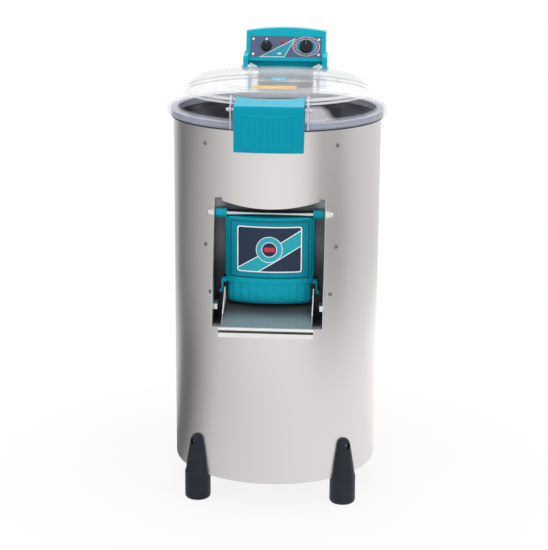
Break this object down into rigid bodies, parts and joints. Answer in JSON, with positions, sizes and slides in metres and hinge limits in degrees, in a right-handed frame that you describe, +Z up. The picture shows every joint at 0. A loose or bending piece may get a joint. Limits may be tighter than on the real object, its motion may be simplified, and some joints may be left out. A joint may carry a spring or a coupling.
{
  "type": "electric potato peeler",
  "caption": "Floor-standing electric peeler: a steel drum with a spinning abrasive disc, a hinged clear lid with a latch, a discharge chute with a swinging door, and a rear control box.",
  "frame": {"origin": "on the drum's axis, on the floor that the feet stand on", "axes": "+Z up, the front with the chute and the latch faces -Y, +X to the right as seen from the front"},
  "size_m": [0.4432, 0.5838, 0.921],
  "materials": {
    "stainless": "satin stainless sheet, lightly brushed round the drum",
    "zinc_steel": "dull zinc-plated steel",
    "hardware": "bright plated screws, nuts and bearings",
    "seal_rubber": "matt black rubber",
    "foot_rubber": "satin blue-black moulded foot",
    "abrasive": "coarse dark grit bonded to steel",
    "cast_iron": "machined grey casting",
    "cast_aluminium": "die-cast aluminium",
    "motor_paint": "grey-blue machine paint",
    "box_teal": "light teal moulded plastic",
    "panel_grey": "blue-grey printed panel",
    "white_plastic": "white moulded plastic",
    "red_lens": "red translucent lens",
    "brass": "plain brass fitting",
    "black_plastic": "black moulded plastic",
    "clear_sheet": "clear formed plastic sheet",
    "amber_label": "plain amber label",
    "teal_label": "plain light teal label",
    "teal": "deep teal moulded plastic",
    "navy_label": "navy label with a plain white border"
  },
  "bodies": {
    "machine": {"outer_shell": "stainless", "lid_seal": "seal_rubber", "base_plate": "zinc_steel", "feet": "foot_rubber", "foot_bolts": "zinc_steel", "abrasive_liner": "abrasive", "drain_pan": "stainless", "drain_spigot": "stainless", "chassis_plate": "zinc_steel", "drive_bolts": "hardware", "bearing_housing": "cast_iron", "spindle_bearings": "hardware", "shaft_seal": "seal_rubber", "motor_flange": "cast_aluminium", "motor_body": "motor_paint", "fan_cover": "motor_paint", "terminal_box": "motor_paint", "v_belt": "seal_rubber", "chute_box": "stainless", "discharge_tray": "stainless", "hinge_rod": "stainless", "rod_nuts": "hardware", "chute_bolts": "hardware", "shell_screws": "hardware", "latch_keeper": "stainless", "rear_duct": "stainless", "control_housing": "box_teal", "control_cover": "box_teal", "control_panel": "panel_grey", "panel_screws": "white_plastic", "indicator_lamp": "red_lens", "switch_body": "white_plastic", "timer_body": "white_plastic", "hinge_bolts": "hardware", "water_inlet": "brass", "cable_gland": "black_plastic", "earth_terminal": "brass", "grommet": "seal_rubber", "wiring_loom": "black_plastic"},
    "lid": {"lid_dome": "clear_sheet", "latch_ears": "clear_sheet", "hinge_lugs": "clear_sheet", "latch_pin": "hardware", "lid_sticker": "amber_label", "lid_badge": "teal_label"},
    "latch": {"latch_handle": "teal", "latch_hook": "zinc_steel"},
    "door": {"discharge_door": "teal", "door_back": "zinc_steel", "door_label": "navy_label", "door_seal": "seal_rubber"},
    "disc": {"abrasive_disc": "abrasive", "disc_cap": "stainless", "spindle": "hardware", "driven_pulley": "cast_iron"},
    "motor": {"motor_rotor": "hardware", "motor_pulley": "cast_iron", "motor_fan": "white_plastic"},
    "switch_knob": {"switch_knob": "black_plastic"},
    "timer_knob": {"timer_knob": "black_plastic"}
  },
  "joints": [
    {"name": "lid_hinge", "type": "hinge", "parent": "machine", "child": "lid", "pos_m": [0, 0.228, 0.84], "axis": [-1, 0, 0], "range_deg": [0, 85]},
    {"name": "latch_pivot", "type": "hinge", "parent": "lid", "child": "latch", "pos_m": [0, -0.22, 0.82], "axis": [-1, 0, 0], "range_deg": [0, 60]},
    {"name": "door_hinge", "type": "hinge", "parent": "machine", "child": "door", "pos_m": [0, -0.188, 0.612], "axis": [-1, 0, 0], "range_deg": [0, 60]},
    {"name": "disc_spin", "type": "hinge", "parent": "machine", "child": "disc", "pos_m": [0, 0, 0.3], "axis": [0, 0, 1], "continuous": true},
    {"name": "motor_spin", "type": "hinge", "parent": "machine", "child": "motor", "pos_m": [0.116, 0, 0.2], "axis": [0, 0, 1], "continuous": true},
    {"name": "switch_turn", "type": "hinge", "parent": "machine", "child": "switch_knob", "pos_m": [-0.042, 0.25546, 0.88293], "axis": [0, -0.9563, 0.2924], "range_deg": [-90, 0]},
    {"name": "timer_turn", "type": "hinge", "parent": "machine", "child": "timer_knob", "pos_m": [0.044, 0.25546, 0.88293], "axis": [0, -0.9563, 0.2924], "range_deg": [-300, 0]}
  ],
  "couplings": [
    {"joint": "motor_spin", "follows": "disc_spin", "ratio": 2.6}
  ]
}
